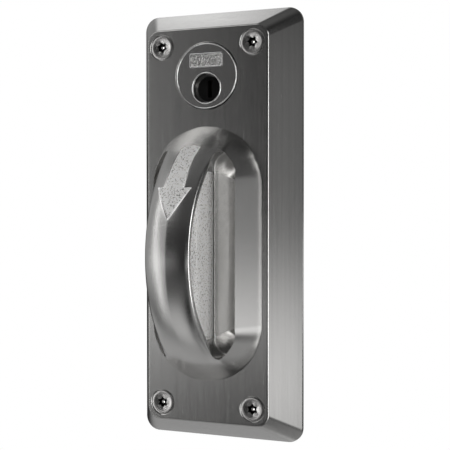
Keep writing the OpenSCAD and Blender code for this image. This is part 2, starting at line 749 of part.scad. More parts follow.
escutcheon();
back_plate();
corner_screws();
corner_spacers();
crescent_handle();
wear_pads();
handle_carriage();
handle_screws();
carriage_guides();
guide_screws();
carriage_rack();
rack_screws();
stop_bumpers();
spring_bracket();
bracket_screws();
spring_rods();
return_springs();
pinion_hub();
hub_bush();
hub_retaining_ring();
spindle();
spindle_pin();
cylinder_shell();
cylinder_collar();
cylinder_ring_nut();
cylinder_tablet();
cylinder_plug();
key_pins();
driver_pins();
driver_springs();
pin_cover();
cylinder_cam();
cam_screws();
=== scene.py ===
"""Push-down crescent handle trim for a mortise lock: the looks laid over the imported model.

Lengths are in millimetres until a mesh is made. The front faces -Y, the door face is y = 0, +Z is up.
"""
import math

import bmesh
import bpy
import numpy as np
from mathutils import Matrix


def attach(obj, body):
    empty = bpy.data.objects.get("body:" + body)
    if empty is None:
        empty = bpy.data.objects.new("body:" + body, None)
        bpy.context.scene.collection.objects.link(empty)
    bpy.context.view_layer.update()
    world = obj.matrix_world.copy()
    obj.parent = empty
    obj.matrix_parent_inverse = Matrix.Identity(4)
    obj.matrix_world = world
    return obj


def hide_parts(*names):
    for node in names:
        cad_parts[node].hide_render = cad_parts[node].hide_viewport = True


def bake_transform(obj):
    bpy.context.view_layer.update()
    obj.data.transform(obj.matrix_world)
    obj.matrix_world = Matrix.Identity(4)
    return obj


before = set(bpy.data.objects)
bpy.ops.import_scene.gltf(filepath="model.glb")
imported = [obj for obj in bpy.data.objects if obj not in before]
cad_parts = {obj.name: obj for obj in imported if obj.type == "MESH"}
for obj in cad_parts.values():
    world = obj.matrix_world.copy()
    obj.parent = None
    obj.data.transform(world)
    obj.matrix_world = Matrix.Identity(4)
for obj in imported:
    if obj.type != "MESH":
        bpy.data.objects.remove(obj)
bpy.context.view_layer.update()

MM = 0.001
# In metres: points this close are one, edges this short are none, and points this near a height are at it
JOIN, SHORT, LEVEL = 2e-6, 1e-7, 1e-6

# Cover: width of its flat face, its base at the door, its depth, and the upright rim under its bevel
FACE_W = 65.6
BASE_W, BASE_H = 87.7, 219.7
BEVEL_RUN = (BASE_W - FACE_W) / 2
DEPTH = 22.3
RIM_H = 2.0
# Corner radii of the face and of the base, and the rounding of the face's edge and of the rim's
FACE_R, BASE_R = 6.5, 7.5
EDGE_R, RIM_R = 1.0, 1.2
# Thickness of the bevelled walls and of the front wall, and the height of the front wall's back
BEVEL_WALL, FRONT_WALL = 2.8, 3.0
INNER_Y = FRONT_WALL - DEPTH

# Corner screws: places, radii of head, thread and neck, and the thread's end behind the door face
SCREW_X, SCREW_Z = 24.5, 90.25
HEAD_R, THREAD_R, NECK_R = 6.2, 3.0, 2.7
SCREW_END = 30.0
# Their socket: mean radius, how far its six lobes reach out, and their sharpening; the pin in it
SOCKET_R, LOBE, LOBE_SHARP = 2.05, 0.38, 0.07
PIN_R, SOCKET_D = 0.9, 2.0

# Key cylinder: axes of head and plug, radii of the head and of the plug's recess, and the head's front
CYL_Z, PLUG_Z = 74.8, 68.75
CYL_R, RECESS_R = 16.4, 7.3
HEAD_FRONT = -22.45
# Raised rings on the head: radius and width of the outer and of the inner one, and their height
OUTER_RING, INNER_RING, RING_H = (CYL_R - 0.35, 0.62), (RECESS_R + 0.36, 0.66), 0.32
# Tablet: middle, width and height, how far frame and field stand proud, and the depth of the grain
TABLET_Z, TABLET_W, TABLET_H = 82.6, 18.0, 7.2
FRAME_OUT, FIELD_OUT, GRAIN_D = 0.5, 0.22, 0.16
GRAIN_POINTS = (150, 54)

# Return springs: axes, radii of coil and wire, turns, and the lower and upper end
SPRING_X, SPRING_Y, SPRING_R, WIRE_R = 9.0, -12.75, 4.0, 0.55
SPRING_TURNS, SPRING_Z = 8, (-92.52, -66.18)

# Crescent handle: x across, s along it from its centre, h above the cover's face
HANDLE_Z = -14.1
BASE_GAP = 0.2
# Posts behind the handle, the travel, and the play of the posts in the cover's slots
POST_S, POST_W, POST_L = 38.0, 14.0, 18.0
TRAVEL, SLOT_PLAY = 12.0, 0.2
# Base: half width, where its round ends begin, and half length
BASE_HALF_W, BASE_END_S = 29.5, 34.2
BASE_HALF_L = BASE_END_S + BASE_HALF_W
# Crest: radius of its circle, and the height of the circle's axis
CREST_R, CREST_AXIS = 62.0, -14.5
# Lip: where the leaning flank ends above, and the flank's rounding into the dome
LIP_X, LIP_H, LIP_R = 21.6, 15.9, 0.6
# The flank's extra height round the ends, per degree past the angle at which it begins
CONE_RISE, CONE_FROM = 0.08, 28
# Powers of the superellipses of dome and crown
DOME_POWER, CROWN_POWER = 1.9, 2.2
# Grip: half width and its growth, up to the place where it stops growing
GRIP_HALF, GRIP_GROWTH, GRIP_END_S = 11.3, 0.9, 40
# Drop from the crest to the grip's edge: in the middle, and the growth that it reaches at a place
EDGE_DROP, EDGE_GROWTH, EDGE_DROP_S = 2.3, 2.5, 36
# Slope of the crown away from its ridge, and the ridge's softness
RIDGE, RIDGE_SOFT = 0.05, 0.2
# Places between which the crown gives way to the dome, and between which it stops standing above it
CROWN_TO_DOME, CROWN_ABOVE = (40, 48), (46, 56)
# Mouth of a pocket: centres and radius of its round ends, the angle that they turn, and the grip's part
MOUTH_CENTRES, MOUTH_R, MOUTH_TURN = (-32.8, 34.2), 22.4, 44.0
MOUTH_EDGE_S = (-45.2, 46.5)
# Web between the pockets: half thickness and its part of the pocket's wall
WEB_X, WEB_S = 5.1, (-41.8, 42.6)
# Reach of the curves that join round end and inner side, at the mouth and at the wall
MOUTH_REACH, WALL_REACH = (3.4, 4.4), (4.5, 7.0)
# Wall of a pocket: how far it stands inside the mouth's outline, and its least height above the foot
WALL_IN, LEAST_WALL = 0.1, 2.0
# Drop from the rim to the wall's top: along the lip, below the grip's edge along the web, and at least there
LIP_DROP, WEB_DROP, LEAST_DROP = 0.7, 6.5, 5.0
# Floor of a pocket: height, height of the web's foot, the middle line, and how far its ends stay in
FLOOR_H, FOOT_H, FLOOR_X, FLOOR_IN = 2.8, 3.7, 9.0, 2.5
# Blasted panel on the web: its ends, corner radius, and how far from the web's face it still counts
PANEL_S, PANEL_R, PANEL_DEEP = (-41.2, 40.8), 2.5, 0.15
# Sunken blasted arrow: places along s, half widths of wings and shaft, bow of its tail, and depth
ARROW_TIP, ARROW_WING, ARROW_TAIL = 18.3, 32.7, 53.4
WING_X, SHAFT_X, TAIL_BOW = 8.4, 4.5, 0.05
ARROW_DEPTH, ARROW_SLOPE = 0.35, 0.25

# Floor of the studio, well below the part, which hangs on its door, and the gap up to its lamp
FLOOR_R, FLOOR_Z, LAMP_GAP = 3500.0, -1000.0, 50.0


# Numbers and meshes

def ease(low, high, x):
    """0 below low, 1 above high, and a smooth S curve between them."""
    t = np.clip((x - low) / (high - low), 0, 1)
    return t * t * (3 - 2 * t)


def mix(a, b, t):
    """a where t is 0, b where t is 1, and in proportion between."""
    return a + (b - a) * t


def round_min(a, b, r):
    """The smaller of a and b, with the corner where they cross rounded over a width of r."""
    t = np.clip(0.5 + 0.5 * (b - a) / r, 0, 1)
    return mix(b, a, t) - r * t * (1 - t)


def around(steps):
    """Angles of a full turn, as a column."""
    return np.linspace(0, 2 * math.pi, steps, endpoint=False)[:, None]


def quads(rows, cols, closed):
    """Faces of a grid whose points are numbered row by row; closed joins the last row to the first."""
    r = np.arange(rows if closed else rows - 1)[:, None]
    c = np.arange(cols - 1)[None, :]
    n = (r + 1) % rows
    return np.stack([r * cols + c, n * cols + c, n * cols + c + 1, r * cols + c + 1], -1).reshape(-1, 4)


def grid_mesh(name, grids):
    """A mesh of several grids of points in mm, each (points, closed), and the corners of its faces."""
    points, faces, start = [], [], 0
    for grid, closed in grids:
        rows, cols = grid.shape[:2]
        points.append(grid.reshape(-1, 3))
        faces.append(quads(rows, cols, closed) + start)
        start += rows * cols
    points, faces = np.concatenate(points), np.concatenate(faces)
    mesh = bpy.data.meshes.new(name)
    mesh.vertices.add(len(points))
    mesh.vertices.foreach_set("co", (points * MM).ravel())
    mesh.loops.add(faces.size)
    mesh.loops.foreach_set("vertex_index", faces.ravel().astype(np.int32))
    mesh.polygons.add(len(faces))
    mesh.polygons.foreach_set("loop_start", np.arange(len(faces), dtype=np.int32) * 4)
    mesh.update(calc_edges=True)
    return mesh, faces.ravel()


def close_seams(mesh, caps):
    """Joins points that meet, fills the free edges at the heights y in caps, and turns the faces outwards.

    Each height is filled with one flat face that leaves its holes open.
    """
    work = bmesh.new()
    work.from_mesh(mesh)
    bmesh.ops.remove_doubles(work, verts=work.verts, dist=JOIN)
    bmesh.ops.dissolve_degenerate(work, edges=work.edges, dist=SHORT)
    for y in caps:
        free = [edge for edge in work.edges if edge.is_boundary]
        rim = [edge for edge in free if all(abs(v.co.y - y * MM) < LEVEL for v in edge.verts)]
        bmesh.ops.triangle_fill(work, use_beauty=True, edges=rim)
    bmesh.ops.recalc_face_normals(work, faces=work.faces)
    work.to_mesh(mesh)
    work.free()


def piece(name, grids, material, body, replaces=(), sharp=35, marks=None, caps=(), uvs=None):
    """Makes one closed mesh of several grids, gives it its material and body, and hides the nodes that it
    replaces.

    marks has one value per point, kept as the attribute "mark". uvs has a pair per point, kept as the UV map
    "around". caps lists the heights y at which free edges are filled. Edges bent by more than sharp degrees
    stay sharp. A piece with no body is attached to none.
    """
    mesh, corners = grid_mesh(name, grids)
    if marks is not None:
        layer = mesh.attributes.new("mark", "FLOAT", "POINT")
        layer.data.foreach_set("value", np.concatenate([m.ravel() for m in marks]).astype(np.float32))
    if uvs is not None:
        layer = mesh.uv_layers.new(name="around")
        layer.data.foreach_set("uv", np.concatenate(uvs)[corners].astype(np.float32).ravel())
    close_seams(mesh, caps)
    mesh.shade_smooth()
    mesh.set_sharp_from_angle(angle=math.radians(sharp))
    mesh.materials.append(material)
    obj = bpy.data.objects.new(name, mesh)
    bpy.context.scene.collection.objects.link(obj)
    if body:
        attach(obj, body)
    if replaces:
        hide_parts(*replaces)
    return obj


def turned(x, z, profile, steps=96):
    """A profile of (radius, y) points turned about the line through x and z along Y.

    It is closed when it ends where it began.
    """
    r, y = np.array(profile, float).T
    a = around(steps)
    return np.stack([x + r * np.cos(a), y + 0 * a, z + r * np.sin(a)], -1), True


def rounded_outline(w, h, r, corner=16):
    """Points of a rectangle w by h with corner radius r, anticlockwise in x and z."""
    a = np.linspace(0, math.pi / 2, corner)
    out = []
    for k, (sx, sz) in enumerate(((1, 1), (-1, 1), (-1, -1), (1, -1))):
        t = a + k * math.pi / 2
        out.append(np.stack([sx * (w / 2 - r) + r * np.cos(t), sz * (h / 2 - r) + r * np.sin(t)], -1))
    return np.concatenate(out)


def outline_skin(levels, z=0):
    """A skin through rounded rectangles (width, height, corner radius, y), joined level by level."""
    rings = []
    for w, h, r, y in levels:
        ring = rounded_outline(w, h, r)
        rings.append(np.stack([ring[:, 0], np.full(len(ring), y), ring[:, 1] + z], -1))
    return np.stack(rings, 1), True


def round_over(start, corner, end, radius, steps):
    """Points of an arc of the radius that rounds the corner between two straight lines in a section."""
    a, b, c = (np.array(p, float) for p in (start, corner, end))
    u, v = (a - b) / np.linalg.norm(a - b), (c - b) / np.linalg.norm(c - b)
    half = math.acos(np.clip(u @ v, -1, 1)) / 2
    centre = b + (u + v) / np.linalg.norm(u + v) * radius / math.sin(half)
    first, last = b + u * radius / math.tan(half) - centre, b + v * radius / math.tan(half) - centre
    t = np.linspace(0, 1, steps + 1)[:, None]
    turn = math.pi - 2 * half
    return centre + (first * np.sin((1 - t) * turn) + last * np.sin(t * turn)) / math.sin(turn)


# Materials

def node_tree(tree):
    """Short makers for one tree: add a node, add a Math node, add a Mix node of numbers or of vectors.

    A setting named in_ and a number or a name is the value of that input, or the output linked to it.
    """
    def fill(socket, value):
        if hasattr(value, "links"):
            tree.links.new(value, socket)
        else:
            socket.default_value = value

    def add(kind, **settings):
        node = tree.nodes.new(kind)
        for key, value in settings.items():
            if key.startswith("in_"):
                key = key[3:]
                fill(node.inputs[int(key) if key.isdigit() else key.replace("_", " ")], value)
            else:
                setattr(node, key, value)
        return node

    def calc(operation, *values, clamp=False):
        node = add("ShaderNodeMath", operation=operation, use_clamp=clamp)
        for socket, value in zip(node.inputs, values):
            fill(socket, value)
        return node.outputs[0]

    def between(factor, low, high, vector=False):
        if vector:
            return add("ShaderNodeMix", data_type="VECTOR", in_0=factor, in_4=low, in_5=high).outputs[1]
        return add("ShaderNodeMix", data_type="FLOAT", in_0=factor, in_2=low, in_3=high).outputs[0]

    return add, calc, between


def new_material(name):
    """An empty node material, the makers for its tree, and the object's own coordinates."""
    mat = bpy.data.materials.new(name)
    mat.use_nodes = True
    mat.node_tree.nodes.clear()
    add, calc, between = node_tree(mat.node_tree)
    return mat, add, calc, between, add("ShaderNodeTexCoord").outputs["Object"]


def stretched(add, at, per_mm):
    """Coordinates in which noise has about this many lines per mm along x, y and z."""
    scale = tuple(lines / MM for lines in per_mm)
    return add("ShaderNodeVectorMath", operation="MULTIPLY", in_0=at, in_1=scale).outputs[0]


def group(name, inputs, outputs):
    """An empty node group with float inputs {name: default}, vector inputs (None) and named outputs."""
    tree = bpy.data.node_groups.new(name, "ShaderNodeTree")
    for key, value in inputs.items():
        kind = "NodeSocketVector" if value is None else "NodeSocketFloat"
        socket = tree.interface.new_socket(key, in_out="INPUT", socket_type=kind)
        if value is not None:
            socket.default_value = value
    for key in outputs:
        tree.interface.new_socket(key, in_out="OUTPUT", socket_type="NodeSocketFloat")
    return tree, tree.nodes.new("NodeGroupInput").outputs, tree.nodes.new("NodeGroupOutput").inputs


def brushed_group():
    """Fine scratches: noise stretched along the brushing by the vector's scale, in two widths, around 0.5.

    Clouds is a slower noise of the same vector, for patches of tone.
    """
    tree, given, out = group("brushed lines", {"Vector": None}, ["Lines", "Clouds"])
    add, calc, _ = node_tree(tree)
    at = given["Vector"]
    wide = add("ShaderNodeTexNoise", in_Vector=at, in_Scale=1.0, in_Detail=4.0, in_Roughness=0.7)
    fine_at = add("ShaderNodeVectorMath", operation="SCALE", in_0=at, in_Scale=3.1).outputs[0]
    fine = add("ShaderNodeTexNoise", in_Vector=fine_at, in_Scale=1.0, in_Detail=3.0, in_Roughness=0.6)
    lines = calc("ADD", calc("MULTIPLY", wide.outputs[0], 0.55), calc("MULTIPLY", fine.outputs[0], 0.45))
    cloud_at = add("ShaderNodeVectorMath", operation="SCALE", in_0=at, in_Scale=0.12).outputs[0]
    cloud = add("ShaderNodeTexNoise", in_Vector=cloud_at, in_Scale=1.0, in_Detail=2.0)
    tree.links.new(lines, out["Lines"])
    tree.links.new(cloud.outputs[0], out["Clouds"])
    return tree


def blasted_group():
    """Sandblasted grain: two sizes of speckle around 0.5."""
    tree, given, out = group("blasted grain", {"Vector": None, "Size": 1.0}, ["Grain"])
    add, calc, _ = node_tree(tree)
    at, size = given["Vector"], given["Size"]
    coarse = add("ShaderNodeTexNoise", in_Vector=at, in_Scale=size, in_Detail=2.0, in_Roughness=0.6)
    fine = add("ShaderNodeTexNoise", in_Vector=at, in_Scale=calc("MULTIPLY", size, 2.7), in_Detail=1.0)
    grain = calc("ADD", calc("MULTIPLY", coarse.outputs[0], 0.6), calc("MULTIPLY", fine.outputs[0], 0.4))
    tree.links.new(grain, out["Grain"])
    return tree


BRUSHED = brushed_group()
BLASTED = blasted_group()


def metal(name, color, roughness, stretch=(1, 1, 1), lines=0.15, bump=0.1, anisotropic=0.0,
          tangent=None, socket=None):
    """Metal with brushed lines, which change its tone, its roughness and its height.

    stretch has lines per mm along x, y, z. tangent is the axis that a highlight circles, or UV for the map
    "around". socket is a range of that map's v that is darkened, a painted shade in the screw's socket.
    """
    mat, add, calc, _, at = new_material(name)
    brush = add("ShaderNodeGroup", node_tree=BRUSHED, in_0=stretched(add, at, stretch))
    shift = calc("SUBTRACT", brush.outputs["Lines"], 0.5)
    cloud = calc("SUBTRACT", brush.outputs["Clouds"], 0.5)
    rough = calc("ADD", roughness, calc("MULTIPLY", shift, lines), clamp=True)
    streaks = calc("ADD", calc("MULTIPLY", shift, lines), calc("MULTIPLY", cloud, lines * 0.6))
    tone = calc("ADD", 1.0, streaks)
    # Painted shade: inside the socket's range of v the tone drops to 6%, standing in for the recess's shade
    if socket:
        low, high = socket
        v = add("ShaderNodeSeparateXYZ", in_0=add("ShaderNodeUVMap", uv_map="around").outputs[0]).outputs[1]
        off = calc("ABSOLUTE", calc("SUBTRACT", v, (low + high) / 2))
        tone = calc("MULTIPLY", tone, calc("ADD", 0.06, calc("GREATER_THAN", off, (high - low) / 2)))
    tint = add("ShaderNodeVectorMath", operation="SCALE", in_0=color, in_Scale=tone)
    bumped = add("ShaderNodeBump", in_Height=brush.outputs["Lines"], in_Strength=bump, in_Distance=0.05 * MM)
    shader = add("ShaderNodeBsdfPrincipled", in_Base_Color=tint.outputs[0], in_Roughness=rough,
                 in_Metallic=1.0, in_Normal=bumped.outputs[0], in_Anisotropic=anisotropic)
    if tangent:
        by_map = {"direction_type": "UV_MAP", "uv_map": "around"}
        by_axis = {"direction_type": "RADIAL", "axis": tangent}
        turn = add("ShaderNodeTangent", **(by_map if tangent == "UV" else by_axis))
        mat.node_tree.links.new(turn.outputs[0], shader.inputs["Tangent"])
    add("ShaderNodeOutputMaterial", in_Surface=shader.outputs[0])
    return mat


def plastic(name, color, roughness, grain=3.0, bump=0.2, gloss=0.5, contrast=0.3, metallic=0.0):
    """A fine uneven skin, as on moulded plastic or rubber, or on blasted metal; grain has specks per mm."""
    mat, add, calc, _, at = new_material(name)
    specks = add("ShaderNodeGroup", node_tree=BLASTED, in_0=at, in_1=grain / MM).outputs[0]
    shift = calc("SUBTRACT", specks, 0.5)
    tone = calc("ADD", 1.0, calc("MULTIPLY", shift, contrast))
    tint = add("ShaderNodeVectorMath", operation="SCALE", in_0=color, in_Scale=tone)
    rough = calc("ADD", roughness, calc("MULTIPLY", shift, 0.2))
    bumped = add("ShaderNodeBump", in_Height=specks, in_Strength=bump, in_Distance=0.1 * MM)
    shader = add("ShaderNodeBsdfPrincipled", in_Base_Color=tint.outputs[0], in_Roughness=rough,
                 in_Normal=bumped.outputs[0], in_Specular_IOR_Level=gloss, in_Metallic=metallic)
    add("ShaderNodeOutputMaterial", in_Surface=shader.outputs[0])
    return mat


def handle_metal():
    """Cast stainless: brushed across the grip and along the flanks, blasted where the mark is above 0.

    The mark is a distance in mm inside the blasted fields. Their edge has a bright line, a painted highlight.
    Away from the middle the brushing, and the axis that highlights circle, go over from across the grip to
    along the handle.
    """
    mat, add, calc, between, at = new_material("handle_steel")
    mark = add("ShaderNodeAttribute", attribute_name="mark").outputs["Fac"]
    # The field's border is 0.25 mm wide, and the painted highlight on its edge is 0.5 mm
    blast = calc("MULTIPLY_ADD", mark, 4.0, 0.5, clamp=True)
    painted_edge_line = calc("MULTIPLY_ADD", calc("ABSOLUTE", mark), -3.0, 0.8, clamp=True)
    # 0 up to 14 mm off the middle, and 1 from 16.5 mm on
    x = add("ShaderNodeSeparateXYZ", in_0=at).outputs[0]
    flank = calc("MULTIPLY_ADD", calc("ABSOLUTE", x), 0.4 / MM, -5.6, clamp=True)

    across, along = stretched(add, at, (0.15, 0.6, 2.6)), stretched(add, at, (2.6, 2.6, 0.09))
    brush_at = between(flank, across, along, vector=True)
    lines = add("ShaderNodeGroup", node_tree=BRUSHED, in_0=brush_at).outputs["Lines"]
    grain = add("ShaderNodeGroup", node_tree=BLASTED, in_0=at, in_1=1.2 / MM).outputs[0]
    line, speck = calc("SUBTRACT", lines, 0.5), calc("SUBTRACT", grain, 0.5)

    rough = between(blast, calc("MULTIPLY_ADD", line, 0.25, 0.22), calc("MULTIPLY_ADD", speck, 0.2, 0.55))
    tone = between(blast, calc("MULTIPLY_ADD", line, 0.15, 1.0), calc("MULTIPLY_ADD", speck, 9.0, 1.7))
    # Painted highlight: the edge line lightens the tone by up to 0.8 along the blasted fields' edge
    tint = add("ShaderNodeVectorMath", operation="SCALE", in_0=(0.6, 0.595, 0.585),
               in_Scale=calc("ADD", tone, calc("MULTIPLY", painted_edge_line, 0.8)))
    height = between(blast, calc("MULTIPLY", lines, 0.25), grain)
    bumped = add("ShaderNodeBump", in_Height=height, in_Strength=0.5, in_Distance=0.12 * MM)
    over = add("ShaderNodeTangent", direction_type="RADIAL", axis="X").outputs[0]
    upright = add("ShaderNodeTangent", direction_type="RADIAL", axis="Z").outputs[0]
    shader = add("ShaderNodeBsdfPrincipled", in_Base_Color=tint.outputs[0], in_Roughness=rough,
                 in_Metallic=calc("MULTIPLY_ADD", blast, -0.75, 1.0), in_Normal=bumped.outputs[0],
                 in_Anisotropic=0.8, in_Tangent=between(flank, over, upright, vector=True))
    add("ShaderNodeOutputMaterial", in_Surface=shader.outputs[0])
    return mat


cover_steel = metal("cover_steel", (0.45, 0.446, 0.438), 0.22, stretch=(4.0, 4.0, 0.06), lines=0.32,
                    bump=0.06, anisotropic=0.35, tangent="Z")
# Head steel, with painted shade darkening the screws' sockets over the v range given as socket
head_steel = metal("head_steel", (0.62, 0.61, 0.6), 0.22, stretch=(2.0, 1.0, 2.0), lines=0.2, bump=0.1,
                   anisotropic=0.85, tangent="UV", socket=(0.13, 0.31))
# Near-white steel for the cylinder's raised rings: a painted highlight, far brighter than the head's own
# steel
ring_highlight_steel = metal("ring_highlight_steel", (0.95, 0.95, 0.94), 0.2, lines=0.08, bump=0.03)
cylinder_steel = metal("cylinder_steel", (0.36, 0.357, 0.352), 0.24, stretch=(2.4, 2.4, 0.2), lines=0.14,
                       bump=0.12, anisotropic=0.6, tangent="Z")
zinc = metal("zinc", (0.66, 0.67, 0.68), 0.35, stretch=(0.5, 0.5, 0.5), lines=0.3)
machined = metal("machined", (0.55, 0.55, 0.56), 0.3, stretch=(0.4, 3.0, 0.4), lines=0.2)
dark_steel = metal("dark_steel", (0.13, 0.13, 0.14), 0.35, stretch=(0.8, 0.8, 0.8), lines=0.25)
brass = metal("brass", (0.72, 0.55, 0.28), 0.28, stretch=(0.6, 2.0, 0.6), lines=0.2)
bronze = metal("bronze", (0.6, 0.42, 0.26), 0.35, stretch=(0.6, 2.0, 0.6), lines=0.25)
wire = metal("wire", (0.5, 0.5, 0.52), 0.25, stretch=(1.5, 1.5, 1.5), lines=0.2)
tablet_metal = metal("tablet_metal", (0.92, 0.92, 0.91), 0.2, stretch=(1.2, 1.2, 1.2), lines=0.2)
grain_metal = plastic("grain_metal", (0.55, 0.545, 0.535), 0.35, grain=1.8, bump=0.5, contrast=14.0,
                      metallic=0.3)
acetal = plastic("acetal", (0.75, 0.75, 0.73), 0.45)
rubber = plastic("rubber", (0.03, 0.03, 0.03), 0.65)
plug_black = plastic("plug_black", (0.01, 0.01, 0.01), 0.5, grain=1.2, bump=0.1, gloss=0.08)

NODE_FINISHES = {
    "escutcheon": cover_steel, "back_plate": zinc, "corner_screws": head_steel,
    "corner_spacers": machined, "wear_pads": acetal, "handle_carriage": zinc, "handle_screws": dark_steel,
    "carriage_guides": acetal, "guide_screws": dark_steel, "carriage_rack": machined,
    "rack_screws": dark_steel, "stop_bumpers": rubber, "spring_bracket": zinc,
    "bracket_screws": dark_steel, "spring_rods": machined, "return_springs": wire, "pinion_hub": bronze,
    "hub_bush": bronze, "hub_retaining_ring": dark_steel, "spindle": machined, "spindle_pin": dark_steel,
    "cylinder_shell": cylinder_steel, "cylinder_collar": zinc, "cylinder_ring_nut": brass,
    "cylinder_tablet": tablet_metal, "cylinder_plug": plug_black, "key_pins": brass,
    "driver_pins": brass, "driver_springs": wire, "pin_cover": brass, "cylinder_cam": zinc,
    "cam_screws": dark_steel,
}
for node, finish in NODE_FINISHES.items():
    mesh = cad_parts[node].data
    mesh.materials.clear()
    mesh.materials.append(finish)


# Crescent handle

def tangent_from_end():
    """Where the line from the end of the base touches the crest's circle, and the line's slope."""
    away = math.hypot(BASE_HALF_L, CREST_AXIS)
    angle = math.atan2(-CREST_AXIS, BASE_HALF_L) + math.acos(CREST_R / away)
    s = CREST_R * math.cos(angle)
    return s, (CREST_AXIS + CREST_R * math.sin(angle)) / (BASE_HALF_L - s)


TANGENT_S, TANGENT_SLOPE = tangent_from_end()


def crest(s):
    """Height of the crest: a circle about an axis under the cover's face."""
    return np.sqrt(np.maximum(CREST_R ** 2 - s * s, 1.0)) + CREST_AXIS


def spine(s):
    """Height along the middle: the crest's circle, then its tangent down to the end of the base."""
    s = np.abs(s)
    return np.where(s < TANGENT_S, crest(s), (BASE_HALF_L - s) * TANGENT_SLOPE)


def base_half(s):
    """Half width of the base: straight sides, then a half circle at each end."""
    past_end = np.maximum(np.abs(s) - BASE_END_S, 0)
    return np.sqrt(np.maximum(BASE_HALF_W ** 2 - past_end ** 2, 0))


def grip_half(s):
    """Half width of the grip, a little wider towards its ends, with the square of the distance."""
    return GRIP_HALF + GRIP_GROWTH * (np.minimum(np.abs(s), GRIP_END_S) / POST_S) ** 2


def web_half(s):
    """Half thickness of the web, the same all along."""
    return WEB_X + 0 * s


def grip_edge(s):
    """Height of the grip's edge: the crest less a drop that grows with the square of the distance."""
    return crest(s) - EDGE_DROP - EDGE_GROWTH * np.minimum(1, (s / EDGE_DROP_S) ** 2)


def superellipse(share, power):
    """Height from 1 in the middle to 0 at a share of 1."""
    return (1 - share ** power) ** (1 / power)


def skin_height(x, s):
    """Height of the handle's outer skin.

    The dome is a superellipse over the base's width, as high as the spine, cut by the flank, which leans
    inwards from the base's outline and is a cone round each end. Over the grip its crown, a flatter
    superellipse from edge to edge, takes over towards the middle of the handle.
    """
    x = np.abs(x)
    dome = spine(s) * superellipse(np.clip(x / np.maximum(base_half(s), 1e-6), 0, 1), DOME_POWER)
    past_end = np.maximum(np.abs(s) - BASE_END_S, 0)
    turned_by = np.degrees(np.arctan2(past_end, np.maximum(x, 1e-6)))
    flank = LIP_H * (BASE_HALF_W - np.hypot(x, past_end)) / (BASE_HALF_W - LIP_X)
    flank = flank + CONE_RISE * np.maximum(turned_by - CONE_FROM, 0)
    dome = round_min(dome, flank, LIP_R)
    half, edge = grip_half(s), grip_edge(s)
    share = np.clip(x / half, 0, 1)
    ridge = RIDGE * (np.sqrt(x * x + RIDGE_SOFT) - math.sqrt(RIDGE_SOFT)) * (1 - share ** 2)
    crown = edge + (crest(s) - edge) * superellipse(share, CROWN_POWER) - ridge
    far = np.abs(s)
    raised = dome + np.maximum(0, crown - dome) * (1 - ease(*CROWN_ABOVE, far))
    return np.where(x <= half, mix(crown, raised, ease(*CROWN_TO_DOME, far)), dome)


def arrow_inside(x, s):
    """Distance inside the arrow's outline, negative outside: a triangle and a shaft with a bowed tail."""
    x = np.abs(x)
    slope = WING_X / (ARROW_WING - ARROW_TIP)
    head = np.minimum(((s - ARROW_TIP) * slope - x) / math.hypot(1, slope), ARROW_WING - s)
    tail = ARROW_TAIL - TAIL_BOW * x * x
    shaft = np.minimum(np.minimum(SHAFT_X - x, s - ARROW_WING + 1), tail - s)
    return np.maximum(head, shaft)


def panel_inside(x, s, h):
    """Distance inside the blasted panel: a rectangle with round corners, on the web's face alone."""
    sides, up = np.minimum(PANEL_S[1] - s, s - PANEL_S[0]), h - FOOT_H
    corner = PANEL_R - np.hypot(np.minimum(sides - PANEL_R, 0), np.minimum(up - PANEL_R, 0))
    panel = np.minimum(np.minimum(sides, up), corner)
    return np.minimum(panel, (WEB_X + PANEL_DEEP - x) * 4)


# Points along a loop: each straight side, each round end, and each bend between round end and inner side
SIDE, END, BEND = 300, 44, 30


def bend(start, along, end, reach):
    """Points of a cubic curve that leaves start in the direction along and comes into end down along s."""
    t = np.linspace(0, 1, BEND, endpoint=False)[:, None]
    start, end = np.array(start), np.array(end)
    first, last = start + reach[0] * np.array(along), end + np.array([0, reach[1]])
    return (1 - t) ** 3 * start + 3 * t * (1 - t) ** 2 * first + 3 * t * t * (1 - t) * last + t ** 3 * end


def round_end(centre, lip_x, radius, end, reach):
    """One end of a pocket in plan: off the straight lip, round a circle's part, and in towards the middle.

    The distance from the centre is the lip's straight line or the radius, whichever is less, rounded over.
    """
    angle = np.radians(np.linspace(0, MOUTH_TURN, END, endpoint=False))
    away = round_min(lip_x / np.cos(angle), np.full(END, radius), LIP_R)
    arc = np.stack([away * np.cos(angle), centre + away * np.sin(angle)], -1)
    last = math.radians(MOUTH_TURN)
    start = (radius * math.cos(last), centre + radius * math.sin(last))
    return np.concatenate([arc, bend(start, (-math.sin(last), math.cos(last)), end, reach)])


def pocket_loop(lip_x, radius, inner_x, inner_s, reach):
    """Plan of a pocket: up the lip, round the top end, down the inner side and round the lower end.

    inner_x gives the inner side's x at the places inner_s. The lower end is the upper one turned over in s
    and run backwards.
    """
    low, high = MOUTH_CENTRES
    lip = np.stack([np.full(SIDE, lip_x), np.linspace(low, high, SIDE, endpoint=False)], -1)
    top = round_end(high, lip_x, radius, (inner_x(inner_s[1]), inner_s[1]), reach)
    side_s = np.linspace(inner_s[1], inner_s[0], SIDE, endpoint=False)
    side = np.stack([inner_x(side_s), side_s], -1)
    foot = (inner_x(inner_s[0]), -inner_s[0])
    bottom = round_end(-low, lip_x, radius, foot, reach)
    bottom = np.concatenate([[foot], bottom[:0:-1]]) * (1, -1)
    return np.concatenate([lip, top, side, bottom])


